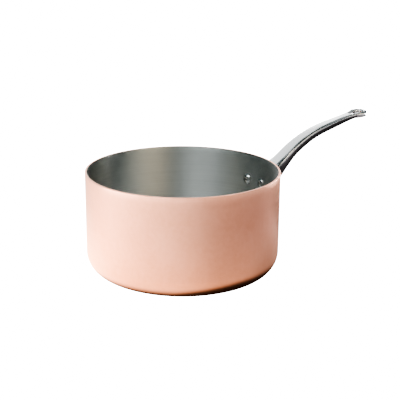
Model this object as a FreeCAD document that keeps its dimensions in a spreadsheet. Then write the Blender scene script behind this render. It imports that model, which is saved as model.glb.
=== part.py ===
"""Copper saucepan: a drawn copper body with a bonded stainless lining, and a cast stainless
handle held by three solid rivets.  Millimetres and degrees; +Z up, +X along the handle, and the
origin at the centre of the base's underside."""

import FreeCAD, Part
import math
import os
import Sketcher

DOC = FreeCAD.newDocument("saucepan")
V = FreeCAD.Vector
ORIGIN, X_LINE, Y_LINE = (-1, 1), -1, -2  # how constraints name a sketch's origin and its axes
START, END, CENTRE = 1, 2, 3  # and the points of a line or an arc

# The driving dimensions.  A drop is measured down from the rim, a reach out from the pan's axis.
DIMENSIONS = {
    # pan
    "inner_radius": 100.0,  # a 20 cm saucepan is measured inside its rim
    "pan_height": 108.0,
    "copper_thick": 1.8,
    "lining_thick": 0.2,
    "corner_radius": 22.0,  # outside, between wall and base
    "rim_break": 0.4,  # rounding of the rim's outer edge
    # rivets: two above, side by side, and one below
    "rivet_angle": 6.5,  # of each upper rivet, either side of the handle's plane
    "upper_drop": 29.3,
    "lower_drop": 52.0,
    "shank_radius": 3.0,
    "head_radius": 5.5,  # domed head, inside the pan
    "head_height": 2.7,
    "head_seat": 0.16,  # the flat head bridges the hollow of the wall by this much
    "tail_radius": 4.5,  # closed head, on the flange
    "tail_height": 1.6,
    # flange of the handle
    "flange_thick": 4.0,
    "flange_margin": 10.0,  # metal round each rivet's axis
    "relief_radius": 6.0,  # room round each closed head, cut straight out from the flange
    "relief_depth": 0.2,  # of its spot face in the flange
    "relief_run": 30.0,
    # middle of the handle's top face: three tangent arcs, each from one slope to the next
    "root_reach": 100.0,
    "root_drop": 21.2,
    "root_slope": 12.9,
    "neck_slope": 34.5,
    "bar_slope": 10.8,
    "tip_slope": 3.8,
    "neck_bend": 133.0,  # radius; a minus bends downwards
    "bar_bend": -144.5,
    "tip_bend": -595.0,
    # eye that the pan hangs by
    "eye_radius": 11.0,
    "eye_edge": 1.7,  # rounding of its edges
    "hole_shift": 1.0,  # centre of the hole's wide end, beyond the eye's centre
    "hole_radius": 5.8,
    "hole_small_radius": 3.2,
    "hole_length": 10.5,  # between the centres of the hole's two ends
    "hole_run": 20.0,  # of the cut, above and below the eye's top
}

# The handle's sections, from the pan outwards.  Each one is on an arc of the top line, which
# turns by the section's share of that arc's turn before it.
SECTIONS = {
    # name: (arc, share, half width at the top, at the bottom, depth, top corner, bottom corner)
    "root": ("neck", 0.00, 16.8, 5.5, 25.5, 1.8, 4.5),
    "shelf": ("neck", 0.27, 14.6, 5.2, 27.5, 1.8, 4.4),
    "throat": ("neck", 0.58, 10.6, 4.6, 23.0, 1.9, 4.0),
    "nape": ("neck", 0.94, 9.1, 4.2, 16.3, 2.2, 3.7),
    "shoulder": ("bar", 0.32, 8.6, 4.0, 14.0, 2.6, 3.5),
    "grip": ("bar", 0.75, 7.8, 3.8, 12.5, 2.6, 3.3),
    "waist": ("tip", 0.16, 7.2, 3.7, 11.1, 2.3, 3.2),
    "wrist": ("tip", 0.46, 6.1, 3.5, 9.7, 1.9, 2.9),
    "fan": ("tip", 0.64, 7.1, 5.2, 8.0, 1.4, 2.6),
    "eye": ("tip", 0.85, 10.8, 9.4, 6.2, 1.2, 2.3),
}
SECTION_SIZES = ("share", "top", "bottom", "depth", "top_corner", "bottom_corner")


class Size:
    """A size: the expression of the sheet's cells that it is bound to, and its value."""

    def __init__(self, text, value):
        self.text = text
        self.value = value

    def __add__(self, other):
        return Size(f"({self.text} + {other.text})", self.value + other.value)

    def __sub__(self, other):
        return Size(f"({self.text} - {other.text})", self.value - other.value)

    def __mul__(self, other):
        return Size(f"({self.text} * {other.text})", self.value * other.value)

    def __neg__(self):
        return Size(f"(-1 * {self.text})", -self.value)


def sine(angle):
    return Size(f"sin({angle.text})", math.sin(math.radians(angle.value)))


def cosine(angle):
    return Size(f"cos({angle.text})", math.cos(math.radians(angle.value)))


def make_sheet():
    """The spreadsheet of driving dimensions, and a Size for each of its cells."""
    values = dict(DIMENSIONS)
    for name, (_, *numbers) in SECTIONS.items():
        values.update((f"{name}_{what}", number) for what, number in zip(SECTION_SIZES, numbers))
    sheet = DOC.addObject("Spreadsheet::Sheet", "dims")
    for row, (alias, value) in enumerate(values.items(), start=1):
        sheet.set(f"A{row}", alias)
        sheet.set(f"B{row}", str(value))
        sheet.setAlias(f"B{row}", alias)
    DOC.recompute()
    return {alias: Size(f"dims.{alias}", value) for alias, value in values.items()}


DIM = make_sheet()
NONE = Size("0", 0.0)
RIGHT_ANGLE = Size("90", 90.0)
WALL = DIM["copper_thick"] + DIM["lining_thick"]
OUTER = DIM["inner_radius"] + WALL
FLANGE_FACE = OUTER + DIM["flange_thick"] - DIM["relief_depth"]  # where the closed heads sit


def below_rim(drop):
    return DIM["pan_height"] - drop


# The rivets, each with the angle of its axis about the pan's and the height of that axis.
RIVETS = {
    "rivet_upper_left": (DIM["rivet_angle"], below_rim(DIM["upper_drop"])),
    "rivet_upper_right": (-DIM["rivet_angle"], below_rim(DIM["upper_drop"])),
    "rivet_lower": (NONE, below_rim(DIM["lower_drop"])),
}


def bind(thing, **sizes):
    """Binds properties to the sheet; a double underscore in a name stands for a dot."""
    for path, size in sizes.items():
        thing.setExpression(path.replace("__", "."), size.text)


def place(thing, x=NONE, z=NONE, axis=V(0, 0, 1), angle=NONE, prefix="Placement"):
    """Puts a thing at x, z, turned about an axis."""
    setattr(thing, prefix, FreeCAD.Placement(V(), FreeCAD.Rotation(axis, 1.0)))
    paths = {"__Base__x": x, "__Base__z": z, "__Rotation__Angle": angle}
    bind(thing, **{prefix + path: size for path, size in paths.items()})


def origin_part(body, role):
    return next(part for part in body.Origin.OriginFeatures if part.Role == role)


def attach(feature, body, role):
    feature.AttachmentSupport = [(origin_part(body, role), "")]
    feature.MapMode = "FlatFace"


def pin_point(sketch, geometry, point, x, y):
    """Holds a point of a sketch at x, y from the sketch's origin."""
    for kind, line, size in (("DistanceX", Y_LINE, x), ("DistanceY", X_LINE, y)):
        if size is NONE:
            sketch.addConstraint(Sketcher.Constraint("PointOnObject", geometry, point, line))
        else:
            rule = Sketcher.Constraint(kind, *ORIGIN, geometry, point, size.value)
            index = sketch.addConstraint(rule)
            sketch.setExpression(f"Constraints[{index}]", size.text)


def set_radius(sketch, geometry, radius):
    index = sketch.addConstraint(Sketcher.Constraint("Radius", geometry, radius.value))
    sketch.setExpression(f"Constraints[{index}]", radius.text)


def circle(sketch, radius):
    """A circle about the sketch's origin."""
    index = sketch.addGeometry(Part.Circle(V(), V(0, 0, 1), radius.value))
    pin_point(sketch, index, CENTRE, NONE, NONE)
    set_radius(sketch, index, radius)


def belt(sketch, wheels):
    """The outline of a belt round wheels, each (x, y, radius), given anticlockwise."""
    spots = [V(x.value, y.value, 0) for x, y, _ in wheels]
    radii = [radius.value for _, _, radius in wheels]
    count = len(wheels)
    normals = []
    for this in range(count):
        after = (this + 1) % count
        run = spots[after] - spots[this]
        lean = (radii[this] - radii[after]) / run.Length
        along = V(run).normalize()
        across = V(along.y, -along.x, 0)
        normals.append(across * math.sqrt(1 - lean**2) + along * lean)
    arcs = []
    for this in range(count):
        ends = [math.atan2(normal.y, normal.x) for normal in (normals[this - 1], normals[this])]
        wheel = Part.Circle(spots[this], V(0, 0, 1), radii[this])
        arcs.append(sketch.addGeometry(Part.ArcOfCircle(wheel, *ends)))
    for this in range(count):
        after = (this + 1) % count
        leave = spots[this] + normals[this] * radii[this]
        arrive = spots[after] + normals[this] * radii[after]
        line = sketch.addGeometry(Part.LineSegment(leave, arrive))
        sketch.addConstraint(Sketcher.Constraint("Tangent", arcs[this], END, line, START))
        sketch.addConstraint(Sketcher.Constraint("Tangent", line, END, arcs[after], START))
    for arc, (x, y, radius) in zip(arcs, wheels):
        pin_point(sketch, arc, CENTRE, x, y)
        set_radius(sketch, arc, radius)


def circle_edges(shape, radius, height):
    """Names of the level circular edges of that radius at that height."""
    names = []
    for index, edge in enumerate(shape.Edges, start=1):
        level = abs(edge.BoundBox.ZMin - height) < 0.01 and edge.BoundBox.ZLength < 0.01
        if level and isinstance(edge.Curve, Part.Circle) and abs(edge.Curve.Radius - radius) < 0.01:
            names.append(f"Edge{index}")
    return names


def bore(body, name, angle, height):
    """A rivet's hole through a wall, as a cylinder from the pan's axis outwards."""
    hole = body.newObject("PartDesign::SubtractiveCylinder", name)
    attach(hole, body, "YZ_Plane")
    # On this plane, local x, y and z are the body's Y, Z and X.
    hole.AttachmentOffset = FreeCAD.Placement(V(), FreeCAD.Rotation(V(0, 1, 0), 1.0))
    bind(hole, AttachmentOffset__Base__y=height, AttachmentOffset__Rotation__Angle=angle)
    bind(hole, Radius=DIM["shank_radius"], Height=OUTER + DIM["relief_run"])


def cup(label, radius, lift, corner, thick):
    """A drawn cup: a disc drawn up to the rim, its corner rounded, and hollowed from above."""
    body = DOC.addObject("PartDesign::Body", label)
    outline = body.newObject("Sketcher::SketchObject", label + "_outline")
    attach(outline, body, "XY_Plane")
    outline.AttachmentOffset = FreeCAD.Placement(V(0, 0, lift.value), FreeCAD.Rotation())
    bind(outline, AttachmentOffset__Base__z=lift)
    circle(outline, radius)
    blank = body.newObject("PartDesign::Pad", label + "_blank")
    blank.Profile = outline
    bind(blank, Length=DIM["pan_height"] - lift)
    DOC.recompute()
    rounded = body.newObject("PartDesign::Fillet", label + "_corner")
    rounded.Base = (blank, circle_edges(blank.Shape, radius.value, lift.value))
    bind(rounded, Radius=corner)
    DOC.recompute()
    heights = [face.CenterOfMass.z for face in rounded.Shape.Faces]
    shell = body.newObject("PartDesign::Thickness", label + "_shell")
    shell.Base = (rounded, [f"Face{heights.index(max(heights)) + 1}"])
    shell.Reversed = True
    bind(shell, Value=thick)
    for name, (angle, height) in RIVETS.items():
        bore(body, f"{label}_{name}_bore", angle, height)
    DOC.recompute()
    return body


def make_copper_body():
    body = cup("copper_body", OUTER, NONE, DIM["corner_radius"], DIM["copper_thick"])
    pierced = body.Tip
    broken = body.newObject("PartDesign::Fillet", "rim_edge")
    broken.Base = (pierced, circle_edges(pierced.Shape, OUTER.value, DIM["pan_height"].value))
    bind(broken, Radius=DIM["rim_break"])
    body.Tip = broken
    return body


def make_steel_lining():
    radius = DIM["inner_radius"] + DIM["lining_thick"]
    corner = DIM["corner_radius"] - DIM["copper_thick"]
    return cup("steel_lining", radius, DIM["copper_thick"], corner, DIM["lining_thick"])


def dome(sketch, apex, seat, radius):
    """Half the outline of a domed head, from an apex on the sketch's X axis to its seat."""
    height = apex.value - seat.value
    ball = (radius.value**2 + height**2) / (2 * height)
    sweep = math.asin(radius.value / abs(ball))
    ends = (0, sweep) if height > 0 else (math.pi - sweep, math.pi)
    sphere = Part.Circle(V(apex.value - ball, 0, 0), V(0, 0, 1), abs(ball))
    arc = sketch.addGeometry(Part.ArcOfCircle(sphere, *ends))
    sketch.addConstraint(Sketcher.Constraint("PointOnObject", arc, CENTRE, X_LINE))


def make_rivet(label, angle, height):
    """A solid rivet, turned about its own axis: domed head inside, closed head on the flange."""
    seat = DIM["inner_radius"] - DIM["head_seat"]
    head_top = seat - DIM["head_height"]
    tail_top = FLANGE_FACE + DIM["tail_height"]
    corners = [
        (head_top, NONE),
        (tail_top, NONE),
        (FLANGE_FACE, DIM["tail_radius"]),
        (FLANGE_FACE, DIM["shank_radius"]),
        (seat, DIM["shank_radius"]),
        (seat, DIM["head_radius"]),
    ]
    body = DOC.addObject("PartDesign::Body", label)
    outline = body.newObject("Sketcher::SketchObject", label + "_profile")
    attach(outline, body, "XZ_Plane")
    domes = {1: (tail_top, FLANGE_FACE, DIM["tail_radius"]), 5: (head_top, seat, DIM["head_radius"])}
    spots = [V(x.value, y.value, 0) for x, y in corners]
    count = len(corners)
    for this in range(count):
        if this in domes:
            dome(outline, *domes[this])
        else:
            outline.addGeometry(Part.LineSegment(spots[this], spots[(this + 1) % count]))
    for this, (x, y) in enumerate(corners):
        before = (this - 1) % count
        outline.addConstraint(Sketcher.Constraint("Coincident", before, END, this, START))
        pin_point(outline, this, START, x, y)
    turned = body.newObject("PartDesign::Revolution", label + "_turned")
    turned.Profile = outline
    turned.ReferenceAxis = (outline, ["H_Axis"])
    turned.Angle = 360
    place(body, z=height, angle=angle)
    return body


def top_line(arc, share):
    """The reach, height and slope of a point on the middle of the handle's top face."""
    reach = DIM["root_reach"]
    height = below_rim(DIM["root_drop"])
    before = "root"
    for name in ("neck", "bar", "tip"):
        start = DIM[before + "_slope"]
        slope = DIM[name + "_slope"]
        if name == arc:
            slope = start + (slope - start) * share
        reach = reach + DIM[name + "_bend"] * (sine(slope) - sine(start))
        height = height + DIM[name + "_bend"] * (cosine(start) - cosine(slope))
        if name == arc:
            return reach, height, slope
        before = name


def section(name):
    """A section of the handle, square to its top line: flat on top and tapering downwards."""
    reach, height, slope = top_line(SECTIONS[name][0], DIM[name + "_share"])
    top_corner = DIM[name + "_top_corner"]
    bottom_corner = DIM[name + "_bottom_corner"]
    side = DIM[name + "_top"] - top_corner
    low_side = DIM[name + "_bottom"] - bottom_corner
    depth = DIM[name + "_depth"] - bottom_corner
    sketch = DOC.addObject("Sketcher::SketchObject", name + "_section")
    # Local x runs down through the handle, and local y is the pan's Y.
    belt(
        sketch,
        [
            (top_corner, -side, top_corner),
            (depth, -low_side, bottom_corner),
            (depth, low_side, bottom_corner),
            (top_corner, side, top_corner),
        ],
    )
    place(sketch, reach, height, V(0, 1, 0), RIGHT_ANGLE - slope)
    return sketch


def make_bar():
    bar = DOC.addObject("Part::Loft", "bar")
    bar.Sections = [section(name) for name in SECTIONS]
    bar.Solid = True
    bar.Ruled = False
    return bar


def extrusion(label, sketch, forward=NONE, back=NONE):
    block = DOC.addObject("Part::Extrusion", label)
    block.Base = sketch
    block.DirMode = "Normal"
    block.Solid = True
    bind(block, LengthFwd=forward, LengthRev=back)
    return block


def cylinder(label, radius):
    """A cylinder on the pan's axis, as high as the pan."""
    solid = DOC.addObject("Part::Cylinder", label)
    bind(solid, Radius=radius, Height=DIM["pan_height"])
    return solid


def combine(kind, label, *shapes):
    """The fusion or the common part of several shapes."""
    result = DOC.addObject(kind, label)
    result.Shapes = list(shapes)
    return result


def cut(label, base, tool):
    result = DOC.addObject("Part::Cut", label)
    result.Base = base
    result.Tool = tool
    return result


def make_flange(pan_space):
    """A curved plate against the pan's wall, its outline a belt round the three rivets."""
    outline = DOC.addObject("Sketcher::SketchObject", "flange_outline")
    wheels = []
    for name in ("rivet_lower", "rivet_upper_left", "rivet_upper_right"):
        angle, height = RIVETS[name]
        across = NONE if angle is NONE else OUTER * sine(angle)
        wheels.append((across, height, DIM["flange_margin"]))
    belt(outline, wheels)
    # This turn puts local x, y and z along the pan's Y, Z and X.
    outline.Placement = FreeCAD.Placement(V(), FreeCAD.Rotation(V(1, 1, 1), 120))
    block = extrusion("flange_block", outline, forward=OUTER + DIM["flange_thick"])
    ring = cut("flange_ring", cylinder("flange_outside", OUTER + DIM["flange_thick"]), pan_space)
    return combine("Part::MultiCommon", "flange", block, ring)


def make_eye():
    """The round pad at the handle's end, its edges rounded, lying along the top line."""
    reach, height, slope = top_line("tip", DIM["eye_share"])
    body = DOC.addObject("PartDesign::Body", "eye_pad")
    outline = body.newObject("Sketcher::SketchObject", "eye_outline")
    attach(outline, body, "XY_Plane")
    circle(outline, DIM["eye_radius"])
    pad = body.newObject("PartDesign::Pad", "eye_block")
    pad.Profile = outline
    pad.Reversed = True
    bind(pad, Length=DIM["eye_depth"])
    DOC.recompute()
    rounded = body.newObject("PartDesign::Fillet", "eye_rounded")
    rims = [circle_edges(pad.Shape, DIM["eye_radius"].value, z) for z in (0, -DIM["eye_depth"].value)]
    rounded.Base = (pad, sum(rims, []))
    bind(rounded, Radius=DIM["eye_edge"])
    place(body, reach, height, V(0, -1, 0), slope)
    return body


def make_hole():
    """The pear-shaped hole through the eye."""
    reach, height, slope = top_line("tip", DIM["eye_share"])
    outline = DOC.addObject("Sketcher::SketchObject", "hole_outline")
    narrow = (DIM["hole_shift"] - DIM["hole_length"], NONE, DIM["hole_small_radius"])
    belt(outline, [narrow, (DIM["hole_shift"], NONE, DIM["hole_radius"])])
    place(outline, reach, height, V(0, -1, 0), slope)
    return extrusion("hole", outline, forward=DIM["hole_run"], back=DIM["hole_run"])


def rivet_tool(label, angle, height):
    """What a rivet takes out of the handle: its hole, and the room round its closed head."""
    body = DOC.addObject("PartDesign::Body", label)
    steps = (("_hole", NONE, DIM["shank_radius"]), ("_relief", FLANGE_FACE, DIM["relief_radius"]))
    for name, start, radius in steps:
        step = body.newObject("PartDesign::AdditiveCylinder", label + name)
        attach(step, body, "YZ_Plane")
        step.AttachmentOffset = FreeCAD.Placement(V(0, 0, start.value), FreeCAD.Rotation())
        bind(step, AttachmentOffset__Base__z=start, Radius=radius)
        bind(step, Height=FLANGE_FACE + DIM["relief_run"] - start)
    place(body, z=height, angle=angle)
    return body


def make_handle():
    pan_space = cylinder("pan_space", OUTER)
    metal = combine("Part::MultiFuse", "handle_metal", make_bar(), make_eye(), make_flange(pan_space))
    tools = [rivet_tool(name + "_tool", *where) for name, where in RIVETS.items()]
    room = combine("Part::MultiFuse", "handle_room", pan_space, make_hole(), *tools)
    return cut("handle", metal, room)


def check(parts):
    """Stops unless every object of the document computed and every part is one sound solid."""
    for thing in DOC.Objects:
        if "Invalid" in thing.State or "Error" in thing.State:
            raise RuntimeError(f"{thing.Label} failed: {thing.State}")
    for part in parts:
        shape = part.Shape
        if shape.isNull() or not shape.isValid() or len(shape.Solids) != 1 or shape.Volume <= 0:
            raise RuntimeError(f"{part.Label} isn't one sound solid")
        print(f"{part.Label}: {shape.Volume / 1000:.2f} cm3, {len(shape.Faces)} faces")


PARTS = [make_copper_body(), make_steel_lining(), make_handle()]
PARTS += [make_rivet(name, *where) for name, where in RIVETS.items()]
DOC.recompute()
check(PARTS)
os.makedirs("parts", exist_ok=True)
for part in PARTS:
    part.Shape.exportStep(f"parts/{part.Label}.step")
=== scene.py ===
"""Copper saucepan in a plain white studio.

The copper body and its lining are turned meshes, the rivets are turned about their own axes, and
the cast handle is one smooth skin round blended solids: an arched bar, a flange and an eye.
The pan's, the rivets' and the handle's sizes are in millimetres. The camera, the lights, the floor
and the materials are in metres.
"""

import bpy
import itertools
import math
import numpy as np
from mathutils import Euler, Matrix, Vector


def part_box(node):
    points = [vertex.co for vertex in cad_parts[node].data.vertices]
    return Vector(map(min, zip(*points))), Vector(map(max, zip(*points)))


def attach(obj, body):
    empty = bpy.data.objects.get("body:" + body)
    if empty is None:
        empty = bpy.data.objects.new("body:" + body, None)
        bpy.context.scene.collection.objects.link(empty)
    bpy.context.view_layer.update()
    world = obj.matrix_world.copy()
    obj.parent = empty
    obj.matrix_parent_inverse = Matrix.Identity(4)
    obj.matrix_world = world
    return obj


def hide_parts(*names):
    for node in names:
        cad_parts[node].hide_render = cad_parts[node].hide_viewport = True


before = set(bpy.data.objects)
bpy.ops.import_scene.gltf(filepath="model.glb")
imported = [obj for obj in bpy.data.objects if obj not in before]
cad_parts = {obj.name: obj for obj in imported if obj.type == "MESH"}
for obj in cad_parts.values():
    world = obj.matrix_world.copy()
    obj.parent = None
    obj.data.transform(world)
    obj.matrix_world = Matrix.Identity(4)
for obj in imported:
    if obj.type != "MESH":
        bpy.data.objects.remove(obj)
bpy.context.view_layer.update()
MM = 0.001

# The pan's outer radius and height come from the frame.
BODY_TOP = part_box("copper_body")[1]
OUTER = round(BODY_TOP[1] / MM)
HEIGHT = BODY_TOP[2] / MM
COPPER = 1.8  # thickness of the copper sheet
LINING = 0.2  # thickness of the steel sheet
CORNER = 22.0  # outer radius between the wall and the bottom
INNER = OUTER - COPPER - LINING
RIM_BREAK = 0.4  # radius of the copper rim's outer edge
LINING_BREAK = 0.05  # the same for the lining
INNER_SHARE = 0.4  # radius of a rim's inner edge, as a share of its outer edge's
HAIR = 0.01  # gap between the bonded sheets' faces, so that they don't coincide

# Rivets: angle about the pan's axis and drop of the rivet's axis below the rim.
RIVETS = {
    "rivet_upper_left": (6.5, 29.3),
    "rivet_upper_right": (-6.5, 29.3),
    "rivet_lower": (0.0, 52.0),
}
SHANK = 3.0  # radius of the shank
HEAD = 5.5  # radius of the domed head inside the pan
TAIL = 4.5  # radius of the closed head on the flange
HEAD_RISE = 2.7
TAIL_RISE = 1.6
HEAD_LIP = 0.45  # radius of the domed head's rounded edge
TAIL_LIP = 0.3
HEAD_SHORT = 0.18  # the dome stops this far short of the head's edge, where the lip takes over
TAIL_SHORT = 0.2
HEAD_LIP_START = -40  # degrees
TAIL_LIP_END = 35
CRISP = 0.6  # width of a narrow flat ring that keeps the shading crisp next to the shank
HEAD_SEAT = 0.16  # from the wall in to the head's flat underside
FLANGE_THICK = 4.0
RELIEF_DEPTH = 0.2  # of the flat in the flange that a rivet's closed head sits on
FLANGE_FACE = OUTER + FLANGE_THICK - RELIEF_DEPTH


# ---------------------------------------------------------------- meshes


def add_piece(name, vertices, faces, body, *nodes, normals=None):
    """A smooth-shaded mesh, its vertices in millimetres, that stands for CAD nodes."""
    mesh = bpy.data.meshes.new(name)
    mesh.from_pydata((np.asarray(vertices) * MM).tolist(), [], faces)
    mesh.validate()
    mesh.update()
    mesh.polygons.foreach_set("use_smooth", [True] * len(mesh.polygons))
    if normals is not None:
        mesh.normals_split_custom_set_from_vertices(normals.tolist())
    piece = bpy.data.objects.new(name, mesh)
    bpy.context.scene.collection.objects.link(piece)
    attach(piece, body)
    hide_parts(*nodes)
    return piece


def arc(centre, radius, start, end, steps):
    """Points along an arc, its angles in degrees."""
    angles = np.radians(np.linspace(start, end, steps))
    return [(centre[0] + radius * math.cos(a), centre[1] + radius * math.sin(a)) for a in angles]


def run(start, end, steps):
    """Points along a straight stretch, without its ends."""
    shares = np.linspace(0, 1, steps + 2)[1:-1]
    return [(start[0] + (end[0] - start[0]) * t, start[1] + (end[1] - start[1]) * t) for t in shares]


def turn(profile, segments):
    """The mesh of a profile of (radius, height), from the axis round to the axis, turned about Z."""
    angles = np.linspace(0, 2 * math.pi, segments, endpoint=False)
    vertices = [(0, 0, profile[0][1])]
    for radius, height in profile[1:-1]:
        vertices += [(radius * math.cos(a), radius * math.sin(a), height) for a in angles]
    vertices.append((0, 0, profile[-1][1]))
    last = len(vertices) - 1
    faces = []
    for ring in range(len(profile) - 3):
        low = 1 + ring * segments
        for this in range(segments):
            after = (this + 1) % segments
            faces.append((low + this, low + after, low + segments + after, low + segments + this))
    top = last - segments
    for this in range(segments):
        after = (this + 1) % segments
        faces.append((0, 1 + after, 1 + this))
        faces.append((last, top + this, top + after))
    return vertices, faces


SEGMENTS = 360  # of the pan's turned sheets
RIVET_SEGMENTS = 64
FLAT_STEPS = 12
BEND_STEPS = 20
OUTER_EDGE_STEPS = 5
INNER_EDGE_STEPS = 4
HEAD_STEPS = 14
TAIL_STEPS = 12
LIP_STEPS = 6


def cup_profile(radius, bottom, corner, thick, rim_break):
    """Half the section of a drawn cup: up its outside, over its rim and down its inside."""
    inside = radius - thick
    bend = (radius - corner, bottom + corner)
    inner_break = rim_break * INNER_SHARE
    points = [(0, bottom)]
    points += run((0, bottom), (bend[0], bottom), FLAT_STEPS)
    points += arc(bend, corner, -90, 0, BEND_STEPS)
    points += run((radius, bend[1]), (radius, HEIGHT - rim_break), FLAT_STEPS)
    outer_edge = (radius - rim_break, HEIGHT - rim_break)
    inner_edge = (inside + inner_break, HEIGHT - inner_break)
    points += arc(outer_edge, rim_break, 0, 90, OUTER_EDGE_STEPS)
    points += arc(inner_edge, inner_break, 90, 180, INNER_EDGE_STEPS)
    points += run((inside, HEIGHT - inner_break), (inside, bend[1]), FLAT_STEPS)
    points += arc(bend, corner - thick, 0, -90, BEND_STEPS)
    points += run((bend[0], bottom + thick), (0, bottom + thick), FLAT_STEPS)
    points.append((0, bottom + thick))
    return points


def make_copper_body():
    profile = cup_profile(OUTER, 0.0, CORNER, COPPER, RIM_BREAK)
    vertices, faces = turn(profile, SEGMENTS)
    return add_piece("drawn_copper", vertices, faces, "root", "copper_body")


def make_lining():
    profile = cup_profile(INNER + LINING - HAIR, COPPER + HAIR, CORNER - COPPER, LINING, LINING_BREAK)
    vertices, faces = turn(profile, SEGMENTS)
    return add_piece("bonded_lining", vertices, faces, "root", "steel_lining")


def ball_radius(radius, rise):
    """Radius of the ball that a dome is cut from."""
    return (radius**2 + rise**2) / (2 * rise)


def ball_angle(radius, ball):
    """Angle from a dome's top to where it has that radius, at the centre of its ball."""
    return math.degrees(math.asin(radius / ball))


def make_rivet(name, angle, drop):
    """A solid rivet: domed head inside the pan, shank, and closed head on the flange."""
    # Height runs outwards from the pan's axis here.
    seat = INNER - HEAD_SEAT
    head_ball = ball_radius(HEAD, HEAD_RISE - HEAD_LIP)
    head_angle = ball_angle(HEAD - HEAD_SHORT, head_ball)
    head_centre = (0, seat - HEAD_RISE + head_ball)
    head_lip = (HEAD - HEAD_LIP, seat - HEAD_LIP)
    tail_ball = ball_radius(TAIL, TAIL_RISE)
    tail_angle = ball_angle(TAIL - TAIL_SHORT, tail_ball)
    tail_centre = (0, FLANGE_FACE + TAIL_RISE - tail_ball)
    tail_lip = (TAIL - TAIL_LIP, FLANGE_FACE + TAIL_LIP)
    ring = SHANK + CRISP
    profile = arc(head_centre, head_ball, -90, head_angle - 90, HEAD_STEPS)
    profile += arc(head_lip, HEAD_LIP, HEAD_LIP_START, 90, LIP_STEPS)
    profile += [(ring, seat), (SHANK, seat), (SHANK, FLANGE_FACE), (ring, FLANGE_FACE)]
    profile += arc(tail_lip, TAIL_LIP, -90, TAIL_LIP_END, LIP_STEPS)
    profile += arc(tail_centre, tail_ball, 90 - tail_angle, 90, TAIL_STEPS)
    vertices, faces = turn(profile, RIVET_SEGMENTS)
    place = Matrix.Rotation(math.radians(angle), 4, "Z") @ Matrix.Rotation(math.radians(90), 4, "Y")
    place = Matrix.Translation((0, 0, HEIGHT - drop)) @ place
    vertices = [place @ Vector(vertex) for vertex in vertices]
    return add_piece(name.replace("rivet", "set_rivet"), vertices, faces, "root", name)


# ---------------------------------------------------------------- handle

# Middle of the handle's top face: tangent arcs, each (slope at its end, radius), where a minus
# bends downwards.
TOP_START = (100.0, HEIGHT - 21.2)
TOP_SLOPE = 12.9
TOP_ARCS = ((34.5, 133.0), (10.8, -144.5), (3.8, -595.0))
# Sections: (arc, share of its turn, half width, depth of the belly, fullness of the belly, corner,
# width of the bevel along the top's edge). A fullness of 2 gives an ellipse, and less is leaner.
SECTIONS = (
    (0, 0.00, 16.8, 25.5, 1.5, 1.9, 5.0),
    (0, 0.27, 14.6, 27.5, 1.5, 1.9, 4.4),
    (0, 0.58, 10.6, 23.0, 1.55, 1.9, 3.4),
    (0, 0.94, 9.1, 16.3, 1.7, 2.3, 2.0),
    (1, 0.32, 8.6, 14.0, 1.8, 2.9, 0.3),
    (1, 0.75, 7.8, 12.5, 1.8, 3.0, 0.0),
    (2, 0.16, 7.2, 11.1, 1.8, 2.6, 0.0),
    (2, 0.46, 6.1, 9.7, 1.8, 2.0, 0.0),
    (2, 0.64, 7.1, 8.0, 2.0, 1.4, 0.0),
    (2, 0.85, 10.8, 6.2, 2.6, 1.2, 0.0),
)
BEVEL = 25.0  # degrees that it slopes down outwards
BEVEL_EDGE = 0.5  # rounding where it leaves the top face
LEAST_BEVEL = 0.02  # a narrower one is left out
CROWN = 0.45  # the top face stands this much higher in its middle
EYE_RADIUS = 11.0
EYE_EDGE = 2.6
EYE_FILLET = 1.5
HOLE_EDGE = 2.2
HOLE_SHIFT = 1.0  # centre of the hole's wide end, beyond the eye's centre
HOLE_RADIUS = 5.8
HOLE_SMALL = 3.2
HOLE_LENGTH = 10.5  # between the centres of the hole's two ends
HOLE_RUN = 12.0  # of the cut, above and below the eye's top
FLANGE_MARGIN = 10.0  # from the rivets' axes to the flange's edge
FLANGE_EDGE = 1.3
RELIEF_RADIUS = 6.0
RELIEF_EDGE = 0.9
RELIEF_CORNER = 0.3
ROOT_FILLET = 6.0
WALL_GAP = 0.02  # between the flange and the copper
TINY = 1e-6  # keeps divisions away from nil
FINE_STEPS = 800  # at which the sections' sizes are worked out along the bar
VOXEL = 0.6  # size of the cells that the handle's skin is found in
NEARING = 6  # steps that bring the skin's vertices onto it


def arc_step(slope, end, radius):
    """How far out and up an arc goes while it turns from one slope to another."""
    return radius * np.array((math.sin(end) - math.sin(slope), math.cos(slope) - math.cos(end)))


def arc_table():
    """Each arc of the top line as (start point, start slope, radius, length before it)."""
    rows = []
    point, slope, length = np.array(TOP_START), math.radians(TOP_SLOPE), 0.0
    for end, radius in TOP_ARCS:
        rows.append((point, slope, radius, length))
        end = math.radians(end)
        point = point + arc_step(slope, end, radius)
        length += radius * (end - slope)
        slope = end
    return rows


ARCS = arc_table()


def along_top(x, z):
    """Distance along the top line, and height above it, of points in the handle's plane."""
    length = np.zeros_like(x)
    above = np.zeros_like(x)
    for index, (start, slope, radius, before) in enumerate(ARCS):
        past = (x - start[0]) * math.cos(slope) + (z - start[1]) * math.sin(slope) > 0
        centre = start + radius * np.array((-math.sin(slope), math.cos(slope)))
        way = np.sign(radius)
        from_centre = np.hypot(x - centre[0], z - centre[1])
        here = np.arctan2(way * (x - centre[0]), -way * (z - centre[1]))
        use = past if index else np.ones_like(past)
        length = np.where(use, before + radius * (here - slope), length)
        above = np.where(use, radius - way * from_centre, above)
    return length, above


def station(arc_index, share):
    """Distance along the top line of a share of an arc's turn."""
    _, slope, radius, before = ARCS[arc_index]
    end = math.radians(TOP_ARCS[arc_index][0])
    return before + radius * (end - slope) * share


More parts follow.
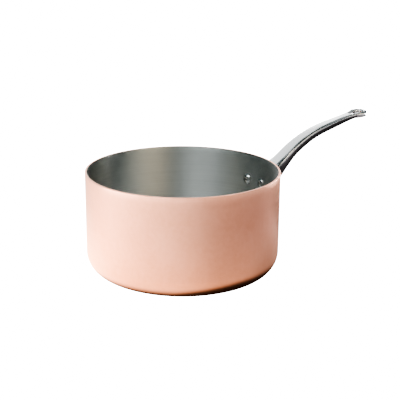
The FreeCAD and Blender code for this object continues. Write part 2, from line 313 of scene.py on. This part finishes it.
def spline(stations, values, wanted):
    """A natural cubic spline through values at stations, held flat past its ends."""
    h = np.diff(stations)
    count = len(stations)
    system = np.eye(count)
    right = np.zeros(count)
    for i in range(1, count - 1):
        system[i, i - 1 : i + 2] = h[i - 1], 2 * (h[i - 1] + h[i]), h[i]
        right[i] = 6 * ((values[i + 1] - values[i]) / h[i] - (values[i] - values[i - 1]) / h[i - 1])
    bend = np.linalg.solve(system, right)
    wanted = np.clip(wanted, stations[0], stations[-1])
    i = np.clip(np.searchsorted(stations, wanted) - 1, 0, count - 2)
    a = (stations[i + 1] - wanted) / h[i]
    b = 1 - a
    cubic = ((a**3 - a) * bend[i] + (b**3 - b) * bend[i + 1]) * h[i] ** 2 / 6
    return a * values[i] + b * values[i + 1] + cubic


STATIONS = np.array([station(arc_index, share) for arc_index, share, *_ in SECTIONS])
FINE = np.linspace(STATIONS[0], STATIONS[-1], FINE_STEPS)
FINE_SIZES = [spline(STATIONS, sizes, FINE) for sizes in np.array(SECTIONS).T[2:]]


def meet(a, b, radius):
    """Where both solids are, with the edge between them rounded."""
    corner = np.hypot(np.maximum(a + radius, 0), np.maximum(b + radius, 0))
    return corner + np.minimum(np.maximum(a, b), -radius)


def blend(a, b, width):
    """Where either solid is, with a fillet of about that width between them."""
    near = np.maximum(width - np.abs(a - b), 0) / width
    return np.minimum(a, b) - near**2 * width / 4


def bar_distance(x, y, z):
    """Distance outside the arched bar: a belly under a lid whose edges may be bevelled."""
    length, above = along_top(x, z)
    half, depth, fullness, corner, bevel = [np.interp(length, FINE, row) for row in FINE_SIZES]
    side = np.maximum(np.abs(y), TINY)
    below = np.maximum(-above, TINY)
    across, down = (side / half) ** fullness, (below / depth) ** fullness
    reach = (across + down) ** (1 / fullness)
    rate = reach / (across + down) * np.hypot(across / side, down / below)
    belly = np.where(above > 0, side - half, (reach - 1) / rate)
    lid = above + CROWN * (side / half) ** 2
    tilt = math.radians(BEVEL)
    bevel = np.where(bevel > LEAST_BEVEL, bevel, -1.0)
    slant = (side - half + bevel) * math.sin(tilt) + above * math.cos(tilt)
    lid = meet(lid, slant, BEVEL_EDGE)
    return np.maximum(meet(lid, belly, corner), length - STATIONS[-1])


def eye_frame():
    """The eye's centre on the top line, and the line's slope there."""
    arc_index, share = SECTIONS[-1][:2]
    start, slope, radius, _ = ARCS[arc_index]
    here = slope + (math.radians(TOP_ARCS[arc_index][0]) - slope) * share
    return start + arc_step(slope, here, radius), here


EYE, EYE_SLOPE = eye_frame()


def pear_distance(along, across):
    """Distance outside the pear-shaped outline of the hanging hole."""
    back = HOLE_SHIFT - along
    lean = (HOLE_RADIUS - HOLE_SMALL) / HOLE_LENGTH
    straight = math.sqrt(1 - lean**2)
    across = np.abs(across)
    level = -lean * across + straight * back
    wide = np.hypot(across, back) - HOLE_RADIUS
    narrow = np.hypot(across, back - HOLE_LENGTH) - HOLE_SMALL
    flank = across * straight + back * lean - HOLE_RADIUS
    return np.where(level < 0, wide, np.where(level > straight * HOLE_LENGTH, narrow, flank))


def eye_distance(along, across, above):
    """Distance outside the eye, a thick round disc as deep as the bar's last section."""
    thick = SECTIONS[-1][3]
    outline = np.hypot(along, across) - EYE_RADIUS
    return meet(outline, np.abs(above + thick / 2) - thick / 2, EYE_EDGE)


def triangle_distance(u, v, corners):
    """Signed distance from a triangle whose corners go anticlockwise."""
    nearest = np.full_like(u, np.inf)
    inside = np.ones_like(u, dtype=bool)
    for this in range(3):
        (ax, ay), (bx, by) = corners[this], corners[(this + 1) % 3]
        ex, ey = bx - ax, by - ay
        px, py = u - ax, v - ay
        share = np.clip((px * ex + py * ey) / (ex**2 + ey**2), 0, 1)
        nearest = np.minimum(nearest, np.hypot(px - ex * share, py - ey * share))
        inside &= ex * py - ey * px > 0
    return np.where(inside, -nearest, nearest)


def flange_distance(x, y, z):
    """Distance outside the flange: a sheet round the wall, a margin wider than its rivets."""
    out = np.hypot(x, y)
    around = OUTER * np.arctan2(y, x)
    (left, upper), (_, _), (_, lower) = RIVETS.values()
    reach = OUTER * math.sin(math.radians(left))
    corners = ((0, HEIGHT - lower), (reach, HEIGHT - upper), (-reach, HEIGHT - upper))
    outline = triangle_distance(around, z, corners) - FLANGE_MARGIN
    sheet = np.abs(out - OUTER - FLANGE_THICK / 2) - FLANGE_THICK / 2
    return meet(outline, sheet, FLANGE_EDGE)


def handle_distance(points):
    """Distance outside the whole handle, in millimetres; negative inside its metal."""
    x, y, z = points
    along = (x - EYE[0]) * math.cos(EYE_SLOPE) + (z - EYE[1]) * math.sin(EYE_SLOPE)
    above = (z - EYE[1]) * math.cos(EYE_SLOPE) - (x - EYE[0]) * math.sin(EYE_SLOPE)
    solid = blend(bar_distance(x, y, z), eye_distance(along, y, above), EYE_FILLET)
    hole = np.maximum(pear_distance(along, y), np.abs(above) - HOLE_RUN)
    solid = meet(solid, -hole, HOLE_EDGE)
    solid = blend(solid, flange_distance(x, y, z), ROOT_FILLET)
    for angle, drop in RIVETS.values():
        c, s = math.cos(math.radians(angle)), math.sin(math.radians(angle))
        beyond = x * c + y * s - FLANGE_FACE
        bore = np.hypot(y * c - x * s, z - HEIGHT + drop)
        room = meet(bore - RELIEF_RADIUS, -beyond, RELIEF_CORNER)
        solid = meet(solid, -room, RELIEF_EDGE)
        solid = np.maximum(solid, SHANK - bore)
    return np.maximum(solid, OUTER + WALL_GAP - np.hypot(x, y))


def slope_of(distance, points, step=0.02):
    """The direction in which a distance grows fastest, and how fast it grows."""
    slopes = []
    for axis in range(3):
        shift = np.zeros((3, 1))
        shift[axis] = step
        slopes.append((distance(points + shift) - distance(points - shift)) / (2 * step))
    slopes = np.array(slopes)
    rate = np.maximum(np.linalg.norm(slopes, axis=0), TINY)
    return slopes / rate, rate


def sample(distance, axes):
    """A distance at every point of a grid, found sheet by sheet to save memory."""
    y, z = np.meshgrid(axes[1], axes[2], indexing="ij")
    return np.array([distance(np.array([np.full_like(y, x), y, z])) for x in axes[0]])


CELL_CORNERS = list(itertools.product((0, 1), repeat=3))
CELL_EDGES = [(a, b) for a in CELL_CORNERS for b in CELL_CORNERS if a < b and math.dist(a, b) == 1]


def at_corner(grid, corner):
    """The value of a grid at the same corner of each of its cells."""
    return grid[tuple(slice(1, None) if far else slice(0, -1) for far in corner)]


def crossings(field, crossed):
    """In each crossed cell, the middle of the spots where the skin cuts the cell's edges."""
    total = np.zeros((np.count_nonzero(crossed), 3))
    hits = np.zeros(len(total))
    for a, b in CELL_EDGES:
        f, g = at_corner(field, a)[crossed], at_corner(field, b)[crossed]
        hit = (f < 0) != (g < 0)
        share = np.where(hit, f / np.where(hit, f - g, 1), 0)
        spot = np.array(a) + share[:, None] * (np.array(b) - np.array(a))
        total += spot * hit[:, None]
        hits += hit
    return total / hits[:, None]


def skin_faces(metal, number):
    """A quad for each grid line that passes through the skin, joining the four cells round it."""
    faces = []
    for axis in range(3):
        across, up = (axis + 1) % 3, (axis + 2) % 3
        start = [slice(1, -1)] * 3
        start[axis] = slice(0, -1)
        end = list(start)
        end[axis] = slice(1, None)
        first, second = metal[tuple(start)], metal[tuple(end)]
        for change, order in ((first & ~second, 1), (second & ~first, -1)):
            spots = np.argwhere(change)
            spots[:, across] += 1
            spots[:, up] += 1
            ring = []
            for step_across, step_up in ((-1, -1), (0, -1), (0, 0), (-1, 0))[::order]:
                cell = spots.copy()
                cell[:, across] += step_across
                cell[:, up] += step_up
                ring.append(number[tuple(cell.T)])
            faces += np.array(ring).T.tolist()
    return faces


def skin(distance, low, high, step):
    """A mesh of quads where a distance is nil: one vertex in each cell that the skin crosses."""
    axes = [np.arange(a, b + step, step) for a, b in zip(low, high)]
    field = sample(distance, axes)
    metal = field < 0
    filled = sum(at_corner(metal, corner).astype(int) for corner in CELL_CORNERS)
    crossed = (filled > 0) & (filled < len(CELL_CORNERS))
    cells = np.argwhere(crossed)
    number = np.full(crossed.shape, -1)
    number[crossed] = np.arange(len(cells))
    points = (np.array(low) + (cells + crossings(field, crossed)) * step).T
    for _ in range(NEARING):
        way, rate = slope_of(distance, points)
        points = points - way * np.clip(distance(points) / rate, -step / 2, step / 2)
    return points.T, skin_faces(metal, number)


def make_handle():
    """The skin of the whole casting, shaded by the directions of its own slopes."""
    low, high = (np.array(corner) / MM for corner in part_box("handle"))
    points, faces = skin(handle_distance, low - 2 * VOXEL, high + 2 * VOXEL, VOXEL)
    normals, _ = slope_of(handle_distance, points.T)
    return add_piece("cast_handle", points, faces, "root", "handle", normals=normals.T)


# ---------------------------------------------------------------- materials


class Nodes:
    """Short calls for building one material's nodes."""

    def __init__(self, name):
        self.material = bpy.data.materials.new(name)
        self.material.use_nodes = True
        self.tree = self.material.node_tree
        self.shader = self.tree.nodes["Principled BSDF"]

    def add(self, kind, values=None, **settings):
        node = self.tree.nodes.new(kind)
        for key, value in settings.items():
            setattr(node, key, value)
        for key, value in (values or {}).items():
            self.feed(node, key, value)
        return node

    def feed(self, node, key, value):
        if isinstance(value, bpy.types.NodeSocket):
            self.tree.links.new(value, node.inputs[key])
        else:
            node.inputs[key].default_value = value

    def surface(self, **values):
        for key, value in values.items():
            self.feed(self.shader, key.replace("_", " "), value)

    def math(self, operation, a, b=0.0):
        return self.add("ShaderNodeMath", {0: a, 1: b}, operation=operation).outputs[0]

    def plus(self, a, b):
        return self.math("ADD", a, b)

    def times(self, a, b):
        return self.math("MULTIPLY", a, b)

    def length(self, a, b):
        return self.math("SQRT", self.plus(self.times(a, a), self.times(b, b)))

    def noise(self, vector, scale, detail=2.0, roughness=0.5):
        values = {"Vector": vector, "Scale": scale, "Detail": detail, "Roughness": roughness}
        return self.add("ShaderNodeTexNoise", values).outputs["Fac"]

    def share(self, value, start, end):
        """How far a value has come from start to end, from 0 to 1."""
        return self.spread(value, 0.0, 1.0, start, end)

    def spread(self, value, low, high, start=0.0, end=1.0):
        """A value that goes from start to end, made to go from low to high."""
        values = {"Value": value, "From Min": start, "From Max": end, "To Min": low, "To Max": high}
        return self.add("ShaderNodeMapRange", values).outputs["Result"]

    def colours(self, value, *stops):
        """A colour ramp with (place, colour) stops."""
        ramp = self.add("ShaderNodeValToRGB", {"Fac": value})
        points = ramp.color_ramp.elements
        points[0].position, points[0].color = stops[0][0], (*stops[0][1], 1)
        points[1].position, points[1].color = stops[-1][0], (*stops[-1][1], 1)
        for place, colour in stops[1:-1]:
            points.new(place).color = (*colour, 1)
        return ramp.outputs["Color"]

    def product(self, a, b):
        """The product of two colours."""
        return self.add("ShaderNodeVectorMath", {0: a, 1: b}, operation="MULTIPLY").outputs[0]

    def mix(self, share, a, b):
        """A colour that goes from a to b as the share goes from 0 to 1."""
        node = self.add("ShaderNodeMix", {0: share}, data_type="VECTOR")
        self.feed(node, 4, a)
        self.feed(node, 5, b)
        return node.outputs[1]

    def bump(self, height, depth, strength=1.0):
        values = {"Height": height, "Distance": depth, "Strength": strength}
        return self.add("ShaderNodeBump", values).outputs["Normal"]

    def spot(self):
        """A point's place along its object's own axes."""
        return self.add("ShaderNodeTexCoord").outputs["Object"]

    def parts(self, vector):
        return self.add("ShaderNodeSeparateXYZ", {0: vector}).outputs

    def rings(self, around, across):
        """Coordinates in which noise is drawn out into rings about the pan's axis.

        Around and across are how fast they grow, along a ring and from one ring to the next.
        """
        x, y, z = self.parts(self.spot())
        leaning = self.plus(z, self.times(y, around / across))
        radius = self.length(x, y)
        values = {0: self.times(x, around), 1: self.times(radius, across), 2: self.times(leaning, across)}
        return self.add("ShaderNodeCombineXYZ", values).outputs[0]


def copper_material():
    """Satin copper: faint marks of turning, and a mottled tone."""
    n = Nodes("satin_copper")
    spot = n.spot()
    polish = n.noise(n.rings(6.0, 900.0), 1.0, 3.0)
    cloud = n.noise(spot, 14.0, 4.0, 0.55)
    fine = n.noise(spot, 220.0, 3.0, 0.6)
    tone = n.plus(n.times(cloud, 0.7), n.times(fine, 0.3))
    base = n.colours(
        tone,
        (0.34, (0.87, 0.435, 0.295)),
        (0.52, (0.93, 0.48, 0.338)),
        (0.70, (0.96, 0.515, 0.375)),
    )
    n.surface(Base_Color=base, Metallic=1.0, Roughness=n.spread(polish, 0.30, 0.38, 0.3, 0.7))
    n.surface(Normal=n.bump(polish, 0.00002, 0.35))
    return n.material


def lining_material():
    """Steel brushed in rings, which stretches its highlights across the brushing."""
    n = Nodes("brushed_lining")
    brush = n.noise(n.rings(14.0, 3200.0), 1.0, 2.0, 0.6)
    broad = n.noise(n.rings(9.0, 700.0), 1.0, 3.0)
    tone = n.plus(n.times(brush, 0.6), n.times(broad, 0.4))
    base = n.colours(
        tone,
        (0.32, (0.58, 0.59, 0.58)),
        (0.5, (0.62, 0.63, 0.62)),
        (0.7, (0.66, 0.67, 0.66)),
    )
    n.surface(Base_Color=base, Metallic=1.0, Roughness=n.spread(brush, 0.40, 0.50, 0.3, 0.7))
    n.surface(Anisotropic=0.87, Anisotropic_Rotation=0.25)
    n.surface(Tangent=n.add("ShaderNodeTangent", direction_type="RADIAL", axis="Z").outputs[0])
    n.surface(Normal=n.bump(tone, 0.00003, 0.8))
    return n.material


def polished_steel(n, grain, dark, light):
    """Gives a material the base of polished steel, and returns the noise of its grain."""
    fine = n.noise(n.spot(), grain, 3.0, 0.6)
    base = n.colours(fine, (0.3, dark), (0.7, light))
    n.surface(Base_Color=base, Metallic=1.0, Roughness=n.spread(fine, 0.18, 0.25, 0.3, 0.7))
    return fine


def cast_steel_material():
    """Cast steel polished by hand, which leaves its surface slightly uneven."""
    n = Nodes("polished_cast_steel")
    polished_steel(n, 900.0, (0.66, 0.66, 0.665), (0.72, 0.72, 0.725))
    hand = n.noise(n.spot(), 60.0, 3.0, 0.5)
    n.surface(Normal=n.bump(hand, 0.0004, 0.15))
    return n.material


def rivet_material():
    n = Nodes("polished_rivet_steel")
    fine = polished_steel(n, 1400.0, (0.64, 0.64, 0.63), (0.72, 0.72, 0.71))
    n.surface(Normal=n.bump(fine, 0.00003, 0.2))
    return n.material


def finish_piece(piece, material):
    piece.data.materials.append(material)


# ---------------------------------------------------------------- studio


AZIMUTH = -37.1  # of the camera, round the pan's axis
RIM_MIDDLE = Vector((0, 0, HEIGHT * MM))
WHITE = 4.6  # strength at which the view transform shows plain white
ROOM_COLOUR = (0.55, 0.95, 1.0, 1)
ROOM_STRENGTH = 0.06
LIGHTS = (
    # name, azimuth, elevation, distance, width, height, radiance, colour
    ("front_left", -33, 42, 1.0, 0.66, 0.4, 2.6, (0.98, 1.0, 1.0)),
    ("fill_left", -40, 40, 1.0, 1.35, 0.4, 1.7, (0.96, 1.0, 1.0)),
    ("front", 3, 42, 1.0, 0.4, 0.3, 1.0, (1.0, 0.98, 0.95)),
    ("front_right", 42, 22, 1.0, 0.56, 0.26, 3.2, (1.0, 0.84, 0.62)),
    ("fill_right", 46, 22, 1.0, 1.3, 0.26, 1.7, (1.0, 0.90, 0.76)),
    ("overhead", 100, 88, 1.2, 0.3, 0.3, 1.0, (1.0, 1.0, 1.0)),
    ("bevel_card", 142, 65, 1.2, 0.45, 0.3, 1.1, (1.0, 1.0, 1.0)),
    ("side_right", 118, 28, 0.65, 0.42, 0.30, 0.4, (1.0, 1.0, 1.0)),
    ("side_left", -112, 45, 1.2, 0.9, 0.8, 0.16, (0.7, 1.0, 1.0)),
    ("back", -169, 43, 1.6, 1.4, 0.80, 1.0, (1.0, 1.0, 1.0)),
    ("back_low", -170, 20, 1.6, 1.4, 0.55, 1.8, (1.0, 1.0, 1.0)),
    ("edge", 142, -3.2, 0.9, 1.15, 0.1, 21.0, (1.0, 1.0, 1.0)),
)
FLOOR_HALF = 4.0
FLOOR_DROP = 0.0002  # keeps the floor clear of the pan's flat bottom


def outwards(azimuth, elevation):
    """The direction from the pan at an azimuth and an elevation, in degrees."""
    a, e = math.radians(azimuth), math.radians(elevation)
    return Vector((math.sin(a) * math.cos(e), -math.cos(a) * math.cos(e), math.sin(e)))


def add_camera():
    """The photograph's view: from the left of the handle, a little above the rim."""
    distance, elevation = 1.021, 15.4
    yaw, pitch, roll = 1.009, -1.785, 0.167  # of the aim, off the middle of the rim
    data = bpy.data.cameras.new("camera")
    data.lens = 87.83
    data.sensor_width = 36.0
    camera = bpy.data.objects.new("camera", data)
    bpy.context.scene.collection.objects.link(camera)
    turned = Euler((math.radians(90 - elevation), 0, math.radians(AZIMUTH))).to_matrix().to_4x4()
    for angle, axis in ((-yaw, "Y"), (pitch, "X"), (roll, "Z")):
        turned = turned @ Matrix.Rotation(math.radians(angle), 4, axis)
    spot = outwards(AZIMUTH, elevation) * distance + RIM_MIDDLE
    camera.matrix_world = Matrix.Translation(spot) @ turned
    bpy.context.scene.camera = camera


def add_light(name, azimuth, elevation, distance, width, height, radiance, colour):
    """A soft box that faces the pan, placed as seen from it.

    Azimuth 0 is at the camera, and it grows to the camera's right.
    """
    data = bpy.data.lights.new(name, "AREA")
    data.shape = "RECTANGLE"
    data.size, data.size_y = width, height
    data.energy = radiance * math.pi * width * height
    data.color = colour
    light = bpy.data.objects.new(name, data)
    out = outwards(AZIMUTH + azimuth, elevation)
    light.location = RIM_MIDDLE + out * distance
    light.rotation_euler = (-out).to_track_quat("-Z", "Y").to_euler()
    light.visible_camera = False
    bpy.context.scene.collection.objects.link(light)


def white_to_camera(tree, other, output):
    """Shows plain white where a camera sees it, and another shader in lights and reflections."""
    path = tree.nodes.new("ShaderNodeLightPath")
    white = tree.nodes.new("ShaderNodeEmission")
    white.inputs["Strength"].default_value = WHITE
    mix = tree.nodes.new("ShaderNodeMixShader")
    tree.links.new(path.outputs["Is Camera Ray"], mix.inputs[0])
    tree.links.new(other, mix.inputs[1])
    tree.links.new(white.outputs[0], mix.inputs[2])
    tree.links.new(mix.outputs[0], output)


def painted_floor_light(n, right, radius):
    """The floor's painted light: its brightness, painted to fall off as the direction from the pan goes
    from the left to the right.
    """
    levels = (
        (0.0, 2.5),
        (0.08, 1.95),
        (0.23, 1.42),
        (0.48, 0.96),
        (0.73, 0.55),
        (0.88, 0.5),
        (1.0, 0.46),
    )
    direction = n.share(n.math("DIVIDE", right, radius), -1.0, 1.0)
    return n.colours(direction, *[(place, (level,) * 3) for place, level in levels])


def painted_floor_tint(n, right, radius):
    """The floor's painted light colour: copper bounce light painted close to the pan, other painted tints
    of light further off, and then none.
    """
    # Painted bounce light: the copper's warm light, painted onto the floor next to the pan.
    painted_copper_bounce = n.colours(
        n.share(right, 0.04, 0.20),
        (0.0, (1.25, 1.03, 0.83)),
        (1.0, (1.22, 1.12, 1.08)),
    )
    # Painted light tint: warmer on the left, darker and cooler on the right.
    painted_light_tint = n.colours(
        n.share(right, -0.30, 0.30),
        (0.0, (0.97, 0.85, 0.76)),
        (0.35, (1.0, 1.0, 1.0)),
        (0.60, (0.95, 0.98, 1.00)),
        (1.0, (0.76, 0.68, 0.72)),
    )
    tint = n.mix(n.spread(radius, 1.0, 0.0, 0.14, 0.34), painted_light_tint, painted_copper_bounce)
    return n.mix(n.share(radius, 0.45, 0.6), tint, (1.0, 1.0, 1.0))


def painted_floor_shading(n, right, away, radius):
    """How much of its light the floor gives at each spot, with painted shadow, painted shade and painted
    light.
    """
    # Painted shadow: the pan's shadow is painted into the floor's glow at its back and to its right, with
    # a paler painted shade next to its foot.
    turned = n.plus(n.math("DIVIDE", away, radius), n.spread(radius, -0.20, 0.0, 0.22, 0.34))
    painted_shadow_behind = n.times(n.share(turned, 0.26, 0.40), n.share(right, -0.05, 0.05))
    foot = n.length(n.math("SUBTRACT", right, 0.10), n.math("SUBTRACT", away, 0.02))
    painted_shade_beside = n.spread(foot, 0.45, 0.0, 0.07, 0.12)
    lit = n.times(n.spread(painted_shadow_behind, 1.0, 0.12), n.math("SUBTRACT", 1.0, painted_shade_beside))
    # Painted falloff: the floor's glow is painted dimmer further from the pan.
    painted_falloff = n.spread(radius, 1.12, 0.82, 0.16, 0.42)
    # Painted shade under the pan's rounded edge: there the floor's glow is painted nearly dark, and a
    # little further out on the right.
    edge = n.math("SUBTRACT", radius, n.spread(right, 0.0, 0.013, -0.01, 0.07))
    painted_contact_shade = n.spread(edge, 0.04, 1.0, 0.0925, 0.1035)
    # Painted light: far off on the camera's side the floor's glow is painted brighter.
    clear = n.times(n.spread(radius, 0.0, 2.2, 0.6, 0.8), n.spread(away, 1.0, 0.0, 0.02, 0.12))
    return n.times(n.times(lit, painted_falloff), n.times(painted_contact_shade, n.plus(1.0, clear)))


def floor_material():
    """White to the camera, and to reflections a glowing floor with the pan's shadows, shade and bounce
    light painted on it.
    """
    n = Nodes("floor")
    right, away, _ = n.parts(n.spot())
    radius = n.length(right, away)
    colour = n.product(painted_floor_light(n, right, radius), painted_floor_tint(n, right, radius))
    strength = painted_floor_shading(n, right, away, radius)
    glow = n.add("ShaderNodeEmission", {"Color": colour, "Strength": strength})
    output = n.tree.nodes["Material Output"].inputs["Surface"]
    white_to_camera(n.tree, glow.outputs[0], output)
    return n.material


def add_floor():
    """A pale floor whose own X runs to the camera's right, and its Y away from the camera."""
    corners = [(x * FLOOR_HALF, y * FLOOR_HALF, 0) for x, y in ((-1, -1), (1, -1), (1, 1), (-1, 1))]
    mesh = bpy.data.meshes.new("floor")
    mesh.from_pydata(corners, [], [(0, 1, 2, 3)])
    mesh.materials.append(floor_material())
    floor = bpy.data.objects.new("floor", mesh)
    floor.location = (0, 0, -FLOOR_DROP)
    floor.rotation_euler = (0, 0, math.radians(AZIMUTH))
    bpy.context.scene.collection.objects.link(floor)


def add_world():
    """A dim bluish room round the pan, which only shows in reflections."""
    world = bpy.data.worlds.new("studio")
    world.use_nodes = True
    tree = world.node_tree
    room = tree.nodes["Background"]
    room.inputs["Color"].default_value = ROOM_COLOUR
    room.inputs["Strength"].default_value = ROOM_STRENGTH
    white_to_camera(tree, room.outputs[0], tree.nodes["World Output"].inputs["Surface"])
    bpy.context.scene.world = world


def add_studio():
    view = bpy.context.scene.view_settings
    view.view_transform = "AgX"
    view.look = "AgX - Very High Contrast"
    add_world()
    for light in LIGHTS:
        add_light(*light)
    add_floor()


def main():
    finish_piece(make_copper_body(), copper_material())
    finish_piece(make_lining(), lining_material())
    finish_piece(make_handle(), cast_steel_material())
    steel = rivet_material()
    for name, (angle, drop) in RIVETS.items():
        finish_piece(make_rivet(name, angle, drop), steel)
    add_camera()
    add_studio()


main()
